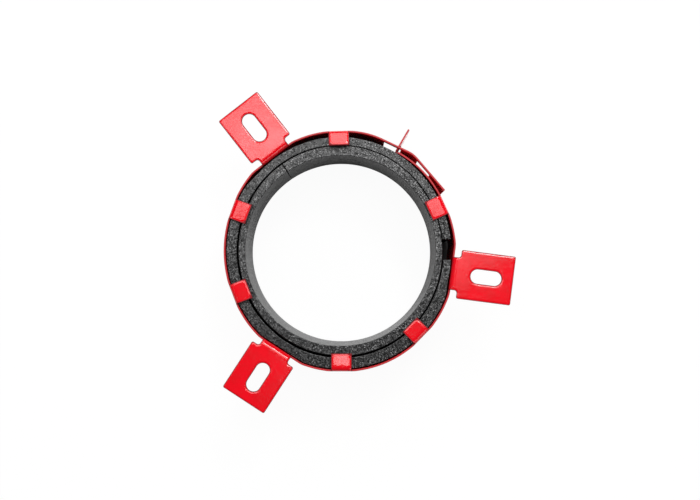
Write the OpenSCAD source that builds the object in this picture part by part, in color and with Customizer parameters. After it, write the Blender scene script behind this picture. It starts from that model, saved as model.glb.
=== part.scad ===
// Fire collar for a plastic pipe: a folded steel band round two intumescent strips.
// Z runs along the pipe, and the fixing lugs are on the upper edge.
// A heading is the direction, in the XY plane, that a flat of the band faces outward.

/* [Pipe] */
// Bore left for the pipe
bore_d = 112; // [60:1:200]

/* [Strips] */
// Mean thickness of each intumescent strip
strip_t = 5; // [3:0.1:8]
// Clear space between the two strips where they lie closest
strip_gap = 0.15; // [0.1:0.05:1]
// Sideways shift of the outer strip round the inner one
strip_shift = 0.5; // [0:0.1:2]
// Direction of that shift
strip_shift_angle = 240; // [0:5:355]
// How far the strips are squeezed out of round, as a change of radius
strip_oval = 0.95; // [0.5:0.05:1.5]
// Width of the open butt of the outer strip
outer_butt_w = 12; // [2:0.5:20]
// Heading of the butt of the outer strip
outer_butt_angle = 0.5; // [-10:0.5:10]
// Width of the closed butt of the inner strip
inner_butt_w = 0.4; // [0.2:0.1:2]
// Heading of the butt of the inner strip
inner_butt_angle = 124; // [100:1:150]
// Drop from the upper edge of the band to the strips
strip_drop = 0.5; // [0:0.1:3]

/* [Band] */
// Thickness of the sheet
sheet_t = 1; // [0.6:0.1:1.5]
// Height from the underside of the lower tabs to the face of the lugs
collar_h = 50; // [35:1:80]
// Inside radius of the folds
fold_r = 2; // [1:0.1:3]
// Clear space between the outer strip and the band where they lie closest
band_gap = 0.1; // [0.1:0.05:1]
// How far the band spreads outward in one turn
band_spread = 3.6; // [3.5:0.1:7]
// Sideways shift of the band round the bore
band_shift = 1.3; // [0:0.1:2]
// Direction of that shift
band_shift_angle = 303; // [0:1:359]
// How far the band is out of round, as a change of radius
band_oval = 0.95; // [0:0.05:1.5]
// Heading of the longest radius of the band and the strips
oval_angle = 98; // [0:1:179]
// Radius of the bend that eases each flat into the curve of the band
ease_r = 10; // [6:1:20]
// Least flat left beside a fold, a window or a bend
flat_land = 1; // [0.8:0.1:1.5]
// How much each side of the sheet draws in where it is bent
bend_thin = 0.02; // [0.01:0.005:0.04]

/* [Lugs] */
// Headings of the three lugs
lug_headings = [-7.4, -123, -232]; // [-360:0.1:0]
// How far each lug sits on past the middle of its flat
lug_slide = 2.4; // [0:0.1:4]
// Width of the plate of a lug
lug_w = 28.7; // [24:0.1:32]
// Length of the plate of a lug
lug_l = 31.8; // [27:0.1:40]
// Width of the neck of a lug
lug_neck_w = 19.4; // [14:0.1:21]
// Radius of the notches beside the neck
notch_r = 1.6; // [1:0.1:2.5]
// Radius of the corners of a lug
lug_corner_r = 1; // [0.5:0.1:2]
// Width of the screw slot
slot_w = 8.4; // [5:0.1:12]
// Length of the screw slot
slot_l = 18.2; // [14:0.1:24]

/* [Tabs] */
// Turn from each lug back to the tab before it
tab_before = [32, 33, 32]; // [30:0.5:38]
// Turn from each lug on to the tab after it
tab_after = [37, 36, 36.5]; // [30:0.5:38]
// Width of a tab
tab_w = 12; // [8:0.5:15]
// Reach of a tab in from the outside of the band
tab_reach = 10.6; // [8.5:0.1:11]
// Angle of a fold that is pressed home
full_fold = 90; // [85:1:90]
// Angle of the fold of the last upper tab, left part open
open_fold = 68; // [45:1:90]

/* [Closure] */
// Heading of the inner end of the band
end_heading = 59.5; // [56:0.5:64]
// Width of the tongue along the band's edge
tongue_w = 31; // [20:0.5:34]
// Reach of the tongue out from the inner layer of the band
tongue_reach = 15.5; // [8:0.5:20]
// Inside radius of the fold of the tongue
tongue_fold_r = 1; // [0.5:0.1:1.5]
// Clear space round the tongue in its window
window_gap = 1.5; // [0.5:0.1:3]
// Length of a window round the band
window_l = 11; // [8:0.5:12]
// Heading of the stretch of band with the first window
window_heading = -295.5; // [-298:0.5:-293]
// How far that stretch is tucked in from the spread of the band
window_tuck = 0.8; // [0:0.1:1]
// Heading of the flat tail with the second window
tail_heading = -319.5; // [-325:0.5:-316]
// How far the flat tail is tucked in from the spread of the band
tail_tuck = 1; // [0:0.1:1.5]
// Length of the tail past the second window
tail_end_l = 13; // [6:0.5:18]

/* [Hidden] */
$fn = 96;

red = [0.80, 0.03, 0.06];
graphite = [0.22, 0.22, 0.23];
lighter_graphite = [0.28, 0.28, 0.29];

one_turn = 360;
per_radian = 180 / PI;
overcut = 1;
half_h = collar_h / 2;
edge_z = half_h - fold_r - sheet_t;
strip_bottom = sheet_t - half_h;
strip_top = edge_z - strip_drop;
strip_h = strip_top - strip_bottom;
strip_bevel = fold_r;

// Mean radii of the strips, each as far out as the one inside it asks
inner_r0 = bore_d / 2;
inner_r1 = inner_r0 + strip_t;
outer_r0 = inner_r1 + strip_gap + strip_shift;
outer_r1 = outer_r0 + strip_t;

// Shift of the middles of an oval's four arcs, which touch halfway between its axes
arc_turn = 45;
arc_shift = strip_oval / (1 - cos(arc_turn));

// Change of radius of the outer strip at a heading
function strip_form(a) =
    strip_shift * cos(a - strip_shift_angle) + oval_form(abs(cos(a - oval_angle)), abs(sin(a - oval_angle)));
function oval_form(along, across) = along > across
    ? strip_oval - arc_shift * (1 - along)
    : arc_shift * (1 - across) - strip_oval;

// Change of radius of the band at a heading, which falls as the band is followed round
function band_form(a) =
    band_spread * (end_heading - a) / one_turn
    + band_shift * cos(a - band_shift_angle)
    + band_oval * cos(2 * (a - oval_angle));

// Flats that carry tabs and lugs, in order from the inner end: heading and half its least length
tab_half = tab_w / 2 + flat_land;
lug_half = lug_neck_w / 2 + lug_slide + flat_land;
function lug_features(i) = [
    [lug_headings[i] + tab_before[i], tab_half],
    [lug_headings[i], lug_half],
    [lug_headings[i] - tab_after[i], tab_half],
];
features = [for (i = [0:2]) each lug_features(i)];

// Turn that eases a flat into the curve, and how far the flat lies inside the curve
function ease_turn(half) = asin(half / (outer_r1 - ease_r));
function flat_dip(half) = half * tan(ease_turn(half) / 2);

// Radius of the curve, as far out as the outer strip asks
sample_step = 2;
band_last = lug_headings[2] - tab_after[2];
band_r = outer_r1 + band_gap + sheet_t + max(concat(
    [for (a = [band_last:sample_step:end_heading]) strip_form(a) - band_form(a)],
    [for (f = features) strip_form(f[0]) - band_form(f[0]) + flat_dip(f[1])]
));

// Distance from the axis to the line that touches the outside of the curve at a heading
function curve_r(a) = band_r + band_form(a);

// Where that line touches the curve, clockwise along it from the foot of its normal
slope_step = 0.5;
function curve_mid(a) =
    (curve_r(a - slope_step) - curve_r(a + slope_step)) / (2 * slope_step) * per_radian;

// Flats in order from the inner end: heading, distance, middle, and half its least length
land_turn = 2 * flat_land / outer_r1 * per_radian;
function touching(a) = [a, curve_r(a), curve_mid(a), flat_land];
function eased_flat(a, half) = [
    touching(a + ease_turn(half) + land_turn),
    [a, curve_r(a) - flat_dip(half), curve_mid(a), half],
    touching(a - ease_turn(half) - land_turn),
];
window_half = window_l / 2;
window_r = curve_r(window_heading) - window_tuck;
window_turn = window_heading + one_turn - end_heading;
tongue_side = tongue_fold_r - curve_mid(end_heading);
window_end = (window_r * sin(window_turn) - tongue_side) / cos(window_turn) + window_gap;
before_tail = [window_heading, window_r, window_end - window_half, window_half + flat_land];
tail = [tail_heading, curve_r(tail_heading) - tail_tuck, 0, window_l + flat_land];
flats = [
    [end_heading, curve_r(end_heading), curve_mid(end_heading), 2 * flat_land],
    for (f = features) each eased_flat(f[0], f[1]),
    before_tail,
    tail,
];
last = len(flats) - 1;

// Number of the flat that carries a feature
function carrier(feature) = 3 * feature + 2;

// Bend between a flat and the next: turn, corner on each flat, tangent length and radius
function bend_turn(i) = flats[i][0] - flats[i + 1][0];
function corner_on(i) = (flats[i + 1][1] - flats[i][1] * cos(bend_turn(i))) / sin(bend_turn(i));
function corner_next(i) = (flats[i + 1][1] * cos(bend_turn(i)) - flats[i][1]) / sin(bend_turn(i));
function bend_tangent(i) = min(
    corner_on(i) - flats[i][2] - flats[i][3],
    flats[i + 1][2] - flats[i + 1][3] - corner_next(i)
);
function bend_r(i) = bend_tangent(i) / tan(bend_turn(i) / 2);

// Ends of a flat, measured clockwise along it
function flat_from(i) = i == 0 ? flats[0][2] : corner_next(i - 1) + bend_tangent(i - 1);
function flat_to(i) = i == last ? flats[last][2] + tail_end_l : corner_on(i) - bend_tangent(i);

window_h = tongue_w + 2 * window_gap;
plate_from = fold_r + notch_r;
slot_mid = plate_from + lug_l / 2;
slot_half = (slot_l - slot_w) / 2;

// Puts children on the outer face of a flat: X outward, Y back along the band
module on_flat(i, along) {
    rotate([0, 0, flats[i][0]]) translate([flats[i][1], -along, 0]) children();
}

// Flat stretch of the band
module straight(i) {
    on_flat(i, flat_to(i))
        translate([-sheet_t, 0, -edge_z])
            cube([sheet_t, flat_to(i) - flat_from(i), 2 * edge_z]);
}

// Bent sheet of a height about Z, from the X axis anticlockwise, let into the flats at its ends
module bent_sheet(r, h, angle) {
    lap = sqrt(bend_thin / r) * per_radian;
    rotate([0, 0, -lap])
        rotate_extrude(angle = angle + 2 * lap)
            translate([r + bend_thin, bend_thin])
                square([sheet_t - 2 * bend_thin, h - 2 * bend_thin]);
}

// Rolled stretch between a flat and the next
module bend(i) {
    on_flat(i, corner_on(i) - bend_tangent(i))
        translate([-bend_r(i), 0, -edge_z])
            rotate([0, 0, -bend_turn(i)])
                bent_sheet(bend_r(i) - sheet_t, 2 * edge_z, bend_turn(i));
}

// Fold inward from the upper edge
module fold_in(w, angle) {
    translate([-sheet_t - fold_r, w / 2, edge_z])
        rotate([90, 0, 0])
            bent_sheet(fold_r, w, angle);
}

// Retaining tab on the upper edge
module tab(angle) {
    fold_in(tab_w, angle);
    translate([-sheet_t - fold_r, 0, edge_z])
        rotate([0, -angle, 0])
            translate([fold_r, -tab_w / 2, 0])
                cube([sheet_t, tab_w, tab_reach - sheet_t - fold_r]);
}

// Outline of a lug's plate and neck, with rounded notches beside the neck
module lug_outline() {
    difference() {
        translate([fold_r, -lug_w / 2]) square([notch_r + lug_l, lug_w]);
        for (side = [0, 1])
            mirror([0, side]) {
                notch();
                translate([plate_from, lug_w / 2]) rotate(270) corner_waste();
                translate([plate_from + lug_l, lug_w / 2]) rotate(180) corner_waste();
            }
    }
}

// Notch on one side of the neck, round towards the plate
module notch() {
    notch_l = lug_w / 2 - lug_neck_w / 2 + overcut;
    translate([fold_r - overcut, lug_neck_w / 2]) square([overcut, notch_l]);
    translate([fold_r - overcut, lug_neck_w / 2 + notch_r]) square([overcut + notch_r, notch_l]);
    translate([fold_r, lug_neck_w / 2 + notch_r]) circle(notch_r);
}

// Waste outside a rounded corner that lies in the first quadrant
module corner_waste() {
    difference() {
        translate([-overcut, -overcut]) square(lug_corner_r + overcut);
        translate([lug_corner_r, lug_corner_r]) circle(lug_corner_r);
    }
}

// Fixing lug folded outward from the upper edge
module lug() {
    translate([-sheet_t, 0, 0]) mirror([1, 0, 0]) fold_in(lug_neck_w, full_fold);
    translate([0, 0, half_h - sheet_t])
        difference() {
            linear_extrude(sheet_t) lug_outline();
            translate([slot_mid - slot_half, -slot_w / 2, -overcut])
                cube([2 * slot_half, slot_w, sheet_t + 2 * overcut]);
            for (side = [-1, 1])
                translate([slot_mid + side * slot_half, 0, -overcut])
                    cylinder(d = slot_w, h = sheet_t + 2 * overcut);
        }
}

// Tongue folded out from the inner end
module tongue() {
    on_flat(0, flats[0][2]) {
        translate([tongue_fold_r, 0, -tongue_w / 2])
            rotate([0, 0, 90])
                bent_sheet(tongue_fold_r, tongue_w, 90);
        translate([tongue_fold_r, tongue_fold_r, -tongue_w / 2])
            cube([tongue_reach - tongue_fold_r, sheet_t, tongue_w]);
    }
}

// Upper and lower tab of a feature
module tabs(feature, angle) {
    i = carrier(feature);
    on_flat(i, flats[i][2]) {
        tab(angle);
        mirror([0, 0, 1]) tab(full_fold);
    }
}

// Lug of a feature, slid along its flat
module slid_lug(feature) {
    i = carrier(feature);
    on_flat(i, flats[i][2] + lug_slide) lug();
}

// Flat with a window whose clockwise end lies at a place along it
module window_flat(i, along) {
    difference() {
        straight(i);
        on_flat(i, along)
            translate([-sheet_t - overcut, 0, -window_h / 2])
                cube([sheet_t + 2 * overcut, window_l, window_h]);
    }
}

module band() {
    color(red) {
        tongue();
        for (k = [0:2]) {
            tabs(3 * k, full_fold);
            slid_lug(3 * k + 1);
            tabs(3 * k + 2, k == 2 ? open_fold : full_fold);
        }
        for (i = [0:last - 2]) straight(i);
        window_flat(last - 1, window_end);
        window_flat(last, 0);
        for (i = [0:last - 1]) bend(i);
    }
}

// Round post whose lower edge may be bevelled
module post(r, h, bevel) {
    rotate_extrude()
        polygon([
            [0, 0],
            if (bevel > 0) [r - bevel, 0],
            [r, bevel],
            [r, h],
            [0, h],
        ]);
}

// Oval post of a mean radius: two wide arcs along its sides, lapped by two tight arcs round its ends
module oval_post(r, h, bevel) {
    wide_r = r + arc_shift - strip_oval;
    tight_r = r - arc_shift + strip_oval;
    lap = sqrt(2 * bend_thin / (wide_r - tight_r)) * per_radian;
    side_l = arc_shift + tight_r * cos(arc_turn + lap);
    rotate([0, 0, oval_angle]) {
        intersection() {
            translate([0, arc_shift, 0]) post(wide_r, h, bevel);
            translate([0, -arc_shift, 0]) post(wide_r, h, bevel);
            translate([-side_l, -wide_r, -overcut]) cube([2 * side_l, 2 * wide_r, h + 2 * overcut]);
        }
        for (end = [-1, 1]) translate([end * arc_shift, 0, 0]) post(tight_r, h, bevel);
    }
}

// Cutter for the butt where the ends of a strip face each other
module butt(a, w, r) {
    rotate([0, 0, a])
        translate([0, -w / 2, -overcut])
            cube([r + strip_t, w, strip_h + 2 * overcut]);
}

// Puts children where the outer strip lies round the inner one
module shifted() {
    rotate([0, 0, strip_shift_angle])
        translate([strip_shift, 0, 0])
            rotate([0, 0, -strip_shift_angle])
                children();
}

// Outer strip, with its lower outer edge bevelled to clear the folds
module outer_strip() {
    color(graphite)
        translate([0, 0, strip_bottom])
            difference() {
                shifted() oval_post(outer_r1, strip_h, strip_bevel);
                translate([0, 0, -overcut]) shifted() oval_post(outer_r0, strip_h + 2 * overcut, 0);
                butt(outer_butt_angle, outer_butt_w, outer_r1);
            }
}

module inner_strip() {
    color(lighter_graphite)
        translate([0, 0, strip_bottom])
            difference() {
                oval_post(inner_r1, strip_h, 0);
                translate([0, 0, -overcut]) cylinder(d = bore_d, h = strip_h + 2 * overcut);
                butt(inner_butt_angle, inner_butt_w, inner_r1);
            }
}

band();
outer_strip();
inner_strip();
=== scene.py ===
"""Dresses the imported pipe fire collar: a folded red steel band round two granular intumescent strips."""

import logging
import math
from dataclasses import dataclass, field
from enum import Enum

import bpy
import numpy as np
from mathutils import Matrix, Vector


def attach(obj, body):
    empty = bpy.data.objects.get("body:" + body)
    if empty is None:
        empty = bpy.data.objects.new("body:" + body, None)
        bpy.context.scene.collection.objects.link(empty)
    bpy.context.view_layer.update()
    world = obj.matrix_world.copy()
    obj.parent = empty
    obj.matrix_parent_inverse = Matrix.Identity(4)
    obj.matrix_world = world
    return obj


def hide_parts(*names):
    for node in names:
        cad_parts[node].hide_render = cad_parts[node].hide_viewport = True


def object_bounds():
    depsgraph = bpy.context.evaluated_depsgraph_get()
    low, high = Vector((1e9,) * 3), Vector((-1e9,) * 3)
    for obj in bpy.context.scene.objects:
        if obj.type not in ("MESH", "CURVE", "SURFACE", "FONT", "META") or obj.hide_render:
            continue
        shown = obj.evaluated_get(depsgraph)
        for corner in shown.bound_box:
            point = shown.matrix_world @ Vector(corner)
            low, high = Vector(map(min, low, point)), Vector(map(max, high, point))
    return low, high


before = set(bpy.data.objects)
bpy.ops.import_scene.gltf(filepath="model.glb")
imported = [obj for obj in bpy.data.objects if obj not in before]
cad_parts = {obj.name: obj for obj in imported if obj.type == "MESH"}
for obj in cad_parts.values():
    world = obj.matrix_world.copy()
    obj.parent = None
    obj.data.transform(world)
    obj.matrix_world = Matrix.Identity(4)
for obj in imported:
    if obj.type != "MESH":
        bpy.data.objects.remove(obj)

LOG = logging.getLogger("fire_collar")
MM = 0.001
BODY = "root"
CAD_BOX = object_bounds()
CUT_EDGE = "cut_edge"
TINY = 1e-9
Pair = tuple[float, float]
Triple = tuple[float, float, float]
Colour = Triple
Socket = bpy.types.NodeSocket
Values = dict[str | int, object]


class Edge(Enum):
    """Edge of the band that a tab is folded from."""

    UPPER = 1
    LOWER = -1


class Kind(Enum):
    """What a flat of the band carries."""

    TABS = "tabs"
    LUG = "lug"


def unit(heading: np.ndarray | float) -> tuple[np.ndarray, np.ndarray]:
    """Gives the outward and the anticlockwise unit vectors at headings.

    Args:
        heading: headings, in radians.

    Returns:
        Two arrays with a last axis of x and y.
    """
    outward = np.stack([np.cos(heading), np.sin(heading)], axis=-1)
    onward = np.stack([-np.sin(heading), np.cos(heading)], axis=-1)
    return outward, onward


def between(low: float, high: float, step: float) -> np.ndarray:
    """Divides a stretch into equal steps no longer than a given one.

    Args:
        low: start of the stretch.
        high: end of the stretch.
        step: longest step.

    Returns:
        The places from low to high, both included.
    """
    return np.linspace(low, high, max(1, math.ceil((high - low) / step - TINY)) + 1)


class NodeGraph:
    """Places and joins the nodes of one material, world or group."""

    def __init__(self, tree: bpy.types.NodeTree) -> None:
        """Takes over a node tree and clears it."""
        self.tree = tree
        tree.nodes.clear()

    def fill(self, node: bpy.types.Node, values: Values) -> None:
        """Joins outputs to inputs of a node, or sets the inputs.

        Args:
            node: the node.
            values: an output, a number or a tuple of three for each input, by its name or number.
        """
        for key, value in values.items():
            socket = node.inputs[key]
            if isinstance(value, Socket):
                self.tree.links.new(value, socket)
            elif socket.type == "RGBA":
                socket.default_value = (*value, 1.0)
            else:
                socket.default_value = value

    def add(self, kind: str, values: Values | None = None, **settings: object) -> bpy.types.Node:
        """Adds a node.

        Args:
            kind: the node's type.
            values: what its inputs are filled with.
            **settings: properties of the node.

        Returns:
            The node.
        """
        node = self.tree.nodes.new(kind)
        for key, value in settings.items():
            setattr(node, key, value)
        self.fill(node, values or {})
        return node

    def math(self, operation: str, *values: Socket | float) -> Socket:
        """Works out a value from one or two values."""
        return self.add("ShaderNodeMath", dict(enumerate(values)), operation=operation).outputs["Value"]

    def vector(self, operation: str, *vectors: Socket | Triple) -> Socket:
        """Works out a vector from one or two vectors."""
        values = dict(enumerate(vectors))
        return self.add("ShaderNodeVectorMath", values, operation=operation).outputs["Vector"]

    def noise(self, place: Socket, scale: Socket | float, detail: float, roughness: float) -> Socket:
        """Gives soft noise from 0 to 1 at a place."""
        values = {"Vector": place, "Scale": scale, "Detail": detail, "Roughness": roughness}
        return self.add("ShaderNodeTexNoise", values).outputs["Fac"]

    def ramp(self, source: Socket, low: float, high: float, to_low: float, to_high: float) -> Socket:
        """Maps a range of a value smoothly to another."""
        values = {"Value": source, "From Min": low, "From Max": high, "To Min": to_low, "To Max": to_high}
        return self.add("ShaderNodeMapRange", values, interpolation_type="SMOOTHSTEP").outputs["Result"]

    def blend(self, share: Socket, a: Socket | Colour, b: Socket | Colour) -> Socket:
        """Mixes two colours by the share of the second."""
        return self.add("ShaderNodeMix", {"Factor": share, 6: a, 7: b}, data_type="RGBA").outputs[2]

    def mix(self, share: Socket | float, a: Socket, b: Socket) -> Socket:
        """Mixes two shaders by the share of the second."""
        return self.add("ShaderNodeMixShader", {"Fac": share, 1: a, 2: b}).outputs["Shader"]

    def bump(self, height: Socket, strength: float, distance: float, normal: Socket | None = None) -> Socket:
        """Turns a height into a normal.

        Args:
            height: the height.
            strength: share of the bump.
            distance: height that stands for 1, in metres.
            normal: normal that it is added to, or none for the surface's own.

        Returns:
            The normal.
        """
        values = {"Height": height, "Strength": strength, "Distance": distance}
        if normal is not None:
            values["Normal"] = normal
        return self.add("ShaderNodeBump", values).outputs["Normal"]


def new_material(name: str) -> tuple[bpy.types.Material, NodeGraph, bpy.types.Node]:
    """Makes a material with a Principled shader.

    Args:
        name: name of the material.

    Returns:
        The material, its graph and the shader node.
    """
    material = bpy.data.materials.new(name)
    material.use_nodes = True
    graph = NodeGraph(material.node_tree)
    shader = graph.add("ShaderNodeBsdfPrincipled")
    graph.add("ShaderNodeOutputMaterial", {"Surface": shader.outputs["BSDF"]})
    return material, graph, shader


@dataclass(frozen=True)
class PowderCoat:
    """Gloss red powder coat: fine orange peel, a slow unevenness and a rounded rim with a line of painted
    shade round it.

    The rim is read from the sheet's distance to its cut edge. The dark line round it is painted shade for the
    shaded side of the sheet.
    It is full on the folded plates, which lie above and below the band's own edges, and fainter on those
    edges.
    A noise is given as its scale, detail and roughness, and a bump as its strength and its distance in
    metres.
    """

    name: str = "red_powder_coat"
    red: Colour = (0.72, 0.002, 0.010)
    deep_red: Colour = (0.62, 0.001, 0.006)
    # Painted shade along the cut edges: its colour, its width in millimetres, its strength and its share on
    # the band's own edges.
    edge_shade_red: Colour = (0.13, 0.001, 0.004)
    edge_shade_w: Pair = (0.20, 0.70)
    edge_shade_share: float = 0.9
    band_edge_shade: float = 0.55
    rim_w: Pair = (0.35, 1.35)
    plate_z: Pair = (0.0224, 0.0230)
    roughness: Pair = (0.11, 0.17)
    slow_noise: Triple = (110.0, 3.0, 0.6)
    slow_span: Pair = (0.3, 0.7)
    peel_noise: Triple = (900.0, 2.0, 0.5)
    rim_bump: Pair = (1.0, 0.0002)
    slow_bump: Pair = (0.05, 0.002)
    peel_bump: Pair = (0.12, 0.0002)

    def _edge_shade(self, graph: NodeGraph, place: Socket, edge: Socket) -> Socket:
        """Masks the painted edge shade: near the cut edge, and full as high or low as the plates.

        Args:
            graph: graph of the material.
            place: place on the piece.
            edge: distance from the cut edge, in millimetres.

        Returns:
            The mask from 0 to 1.
        """
        level = graph.math("ABSOLUTE", graph.add("ShaderNodeSeparateXYZ", {"Vector": place}).outputs["Z"])
        on_plate = graph.ramp(level, *self.plate_z, self.band_edge_shade, 1.0)
        return graph.math("MULTIPLY", on_plate, graph.ramp(edge, *self.edge_shade_w, self.edge_shade_share, 0.0))

    def build(self) -> bpy.types.Material:
        """Builds the material.

        Returns:
            The material.
        """
        material, graph, shader = new_material(self.name)
        place = graph.add("ShaderNodeTexCoord").outputs["Object"]
        edge = graph.add("ShaderNodeAttribute", attribute_name=CUT_EDGE).outputs["Fac"]
        slow = graph.noise(place, *self.slow_noise)
        peel = graph.noise(place, *self.peel_noise)
        coat = graph.blend(graph.ramp(slow, *self.slow_span, 0.0, 1.0), self.red, self.deep_red)
        # Painted shade: the cut edges are made darker and rougher, standing in for the sheet's shaded side.
        line = self._edge_shade(graph, place, edge)
        gloss = graph.ramp(slow, *self.slow_span, *self.roughness)
        rim = graph.bump(graph.ramp(edge, *self.rim_w, 0.0, 1.0), *self.rim_bump)
        broad = graph.bump(slow, *self.slow_bump, rim)
        graph.fill(shader, {
            "Base Color": graph.blend(line, coat, self.edge_shade_red),
            "Roughness": graph.math("MAXIMUM", gloss, line),
            "Normal": graph.bump(peel, *self.peel_bump, broad),
        })
        return material


class GranuleGroup:
    """Shared effect of pressed graphite granules: a grain of tones, bright flakes and leaning faces.

    Each granule is a cell with its own tone and tilt. Its tone is a power of a chance value, which fine noise
    dims. A share of the cells are flakes, which fade out towards their rims.
    """

    skew: float = 1.8
    fine_noise: Pair = (3.0, 0.7)
    fine_span: Pair = (0.30, 0.62)
    fine_least: float = 0.55
    flake_fade: Pair = (0.35, 0.60)
    made: bpy.types.NodeTree | None = None

    @classmethod
    def get(cls) -> bpy.types.NodeTree:
        """Gives the group, which is built once.

        Inputs are the place, the grain's scale, the share of flakes and how far the granules tilt. Outputs
        are the tone from 0 to 1, the mask of the flakes, and the normal, which each granule tilts its own
        way.

        Returns:
            The node group.
        """
        if cls.made is None:
            cls.made = bpy.data.node_groups.new("graphite_granules", "ShaderNodeTree")
            for name in ("Place", "Scale", "Flakes", "Tilt"):
                kind = "NodeSocketVector" if name == "Place" else "NodeSocketFloat"
                cls.made.interface.new_socket(name, in_out="INPUT", socket_type=kind)
            for name in ("Tone", "Flake", "Normal"):
                kind = "NodeSocketVector" if name == "Normal" else "NodeSocketFloat"
                cls.made.interface.new_socket(name, in_out="OUTPUT", socket_type=kind)
            cls._join(NodeGraph(cls.made))
        return cls.made

    @classmethod
    def _join(cls, graph: NodeGraph) -> None:
        """Joins the group's outputs to its inputs.

        Args:
            graph: graph of the group.
        """
        take = graph.add("NodeGroupInput").outputs
        fine = graph.noise(take["Place"], take["Scale"], *cls.fine_noise)
        cells = graph.add("ShaderNodeTexVoronoi", {"Vector": take["Place"], "Scale": take["Scale"]}).outputs
        chance = graph.add("ShaderNodeSeparateColor", {"Color": cells["Color"]}).outputs
        dimmed = graph.ramp(fine, *cls.fine_span, cls.fine_least, 1.0)
        picked = graph.math("LESS_THAN", chance[0], take["Flakes"])
        faded = graph.ramp(cells["Distance"], *cls.flake_fade, 1.0, 0.0)
        way = graph.vector("SUBTRACT", cells["Color"], (0.5, 0.5, 0.5))
        tilt = graph.add("ShaderNodeVectorMath", {"Vector": way, "Scale": take["Tilt"]}, operation="SCALE")
        upright = graph.add("ShaderNodeNewGeometry").outputs["Normal"]
        leaning = graph.vector("ADD", upright, tilt.outputs["Vector"])
        graph.add("NodeGroupOutput", {
            "Tone": graph.math("MULTIPLY", graph.math("POWER", chance[1], cls.skew), dimmed),
            "Flake": graph.math("MULTIPLY", picked, faded),
            "Normal": graph.vector("NORMALIZE", leaning),
        })


@dataclass(frozen=True)
class Graphite:
    """Granular graphite intumescent with bright flakes, its grain drawn out along the strip's height."""

    name: str
    dark: Colour
    light: Colour
    flake: Colour
    scale: float = 1900.0
    drawn: float = 0.5
    flakes: float = 0.30
    tilt: float = 0.26
    shine: float = 0.42
    roughness: Pair = (0.28, 0.24)

    def build(self) -> bpy.types.Material:
        """Builds the material.

        Returns:
            The material.
        """
        material, graph, shader = new_material(self.name)
        place = graph.add("ShaderNodeTexCoord").outputs["Object"]
        grain = graph.add("ShaderNodeGroup", node_tree=GranuleGroup.get())
        graph.fill(grain, {
            "Place": graph.vector("MULTIPLY", place, (1.0, 1.0, self.drawn)),
            "Scale": self.scale,
            "Flakes": self.flakes,
            "Tilt": self.tilt,
        })
        tone = graph.blend(grain.outputs["Tone"], self.dark, self.light)
        bright = grain.outputs["Flake"]
        graph.fill(shader, {
            "Base Color": graph.blend(bright, tone, self.flake),
            "Roughness": graph.ramp(bright, 0.0, 1.0, *self.roughness),
            "Metallic": bright,
            "Specular IOR Level": self.shine,
            "Normal": grain.outputs["Normal"],
        })
        return material


@dataclass(frozen=True)
class Feature:
    """A lug or a pair of tabs: its heading, width, slide along its flat and the land beside it."""

    kind: Kind
    heading: float
    width: float
    slide: float
    land: float

    @property
    def half(self) -> float:
        """Half the least length of the flat that carries it."""
        return self.width / 2 + self.slide + self.land


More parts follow.
